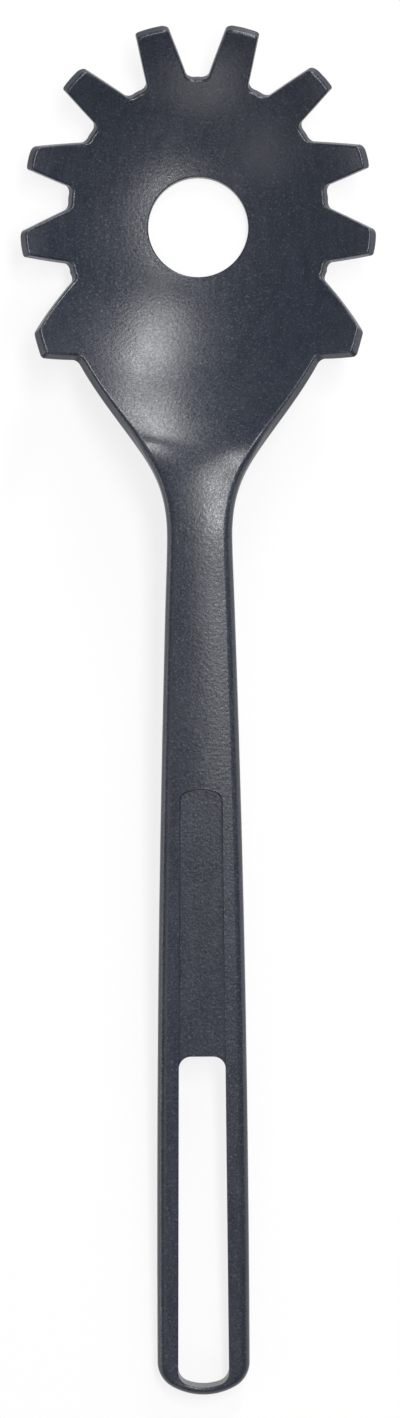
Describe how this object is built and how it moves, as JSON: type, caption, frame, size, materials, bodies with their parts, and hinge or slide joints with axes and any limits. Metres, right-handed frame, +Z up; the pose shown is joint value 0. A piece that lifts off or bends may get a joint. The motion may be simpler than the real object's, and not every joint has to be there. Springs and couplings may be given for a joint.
{
  "type": "pasta server",
  "caption": "Moulded pasta server: dished, toothed head with a round portion hole, narrow neck and long handle with a thumb panel and a hanging slot.",
  "frame": {"origin": "centre of the portion hole's lower rim, on the plane that the server lies on", "axes": "+Y towards the tips of the teeth, with the handle along -Y; +Z up, the way the bowl opens; +X to the right, seen from above with the teeth ahead"},
  "size_m": [0.087, 0.3356, 0.028],
  "materials": {
    "nylon": "fine textured satin, dark blue-grey reinforced nylon"
  },
  "bodies": {
    "root": {"bowl": "nylon", "tooth_left_1": "nylon", "tooth_left_2": "nylon", "tooth_left_3": "nylon", "tooth_left_4": "nylon", "tooth_right_1": "nylon", "tooth_right_2": "nylon", "tooth_right_3": "nylon", "tooth_right_4": "nylon", "fin_left": "nylon", "fin_right": "nylon", "neck": "nylon", "handle_shaft": "nylon", "hanging_loop": "nylon"}
  },
  "joints": []
}
